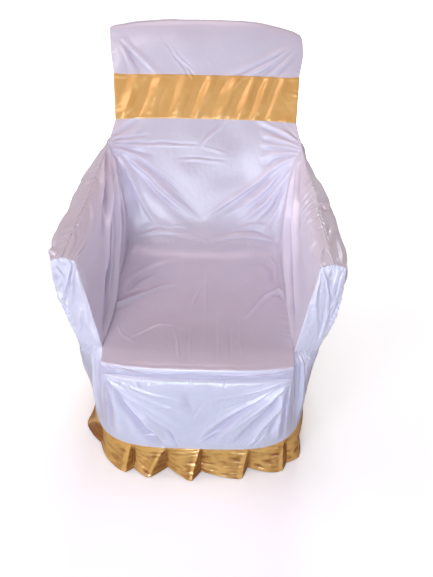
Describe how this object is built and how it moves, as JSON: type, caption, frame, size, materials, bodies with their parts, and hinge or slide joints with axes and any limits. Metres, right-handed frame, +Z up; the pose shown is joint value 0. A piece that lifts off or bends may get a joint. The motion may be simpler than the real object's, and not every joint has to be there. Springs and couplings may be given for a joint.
{
  "type": "fitted armchair cover with sash band and pleated frill; the armchair it hides is left out",
  "caption": "White satin armchair cover, worn shape, with a gold sash band across the backrest and a pleated gold frill below the hem.",
  "frame": {"origin": "on the floor under the middle of the cover", "axes": "+Z up, -Y towards the front of the seat, +X to the right as seen from the front"},
  "size_m": [0.6396, 0.6777, 0.9226],
  "materials": {
    "white_satin": "satin weave, soft sheen, off-white",
    "gold_satin": "satin weave, soft sheen, antique gold"
  },
  "bodies": {
    "root": {"inside_back": "white_satin", "outside_back": "white_satin", "seat_panel": "white_satin", "inner_arm_left": "white_satin", "inner_arm_right": "white_satin", "outer_arm_left": "white_satin", "outer_arm_right": "white_satin", "arm_front_left": "white_satin", "arm_front_right": "white_satin", "side_skirt_left": "white_satin", "side_skirt_right": "white_satin", "front_skirt": "white_satin", "sash_band": "gold_satin", "frill_front": "gold_satin", "frill_left": "gold_satin", "frill_right": "gold_satin", "frill_back": "gold_satin"}
  },
  "joints": []
}
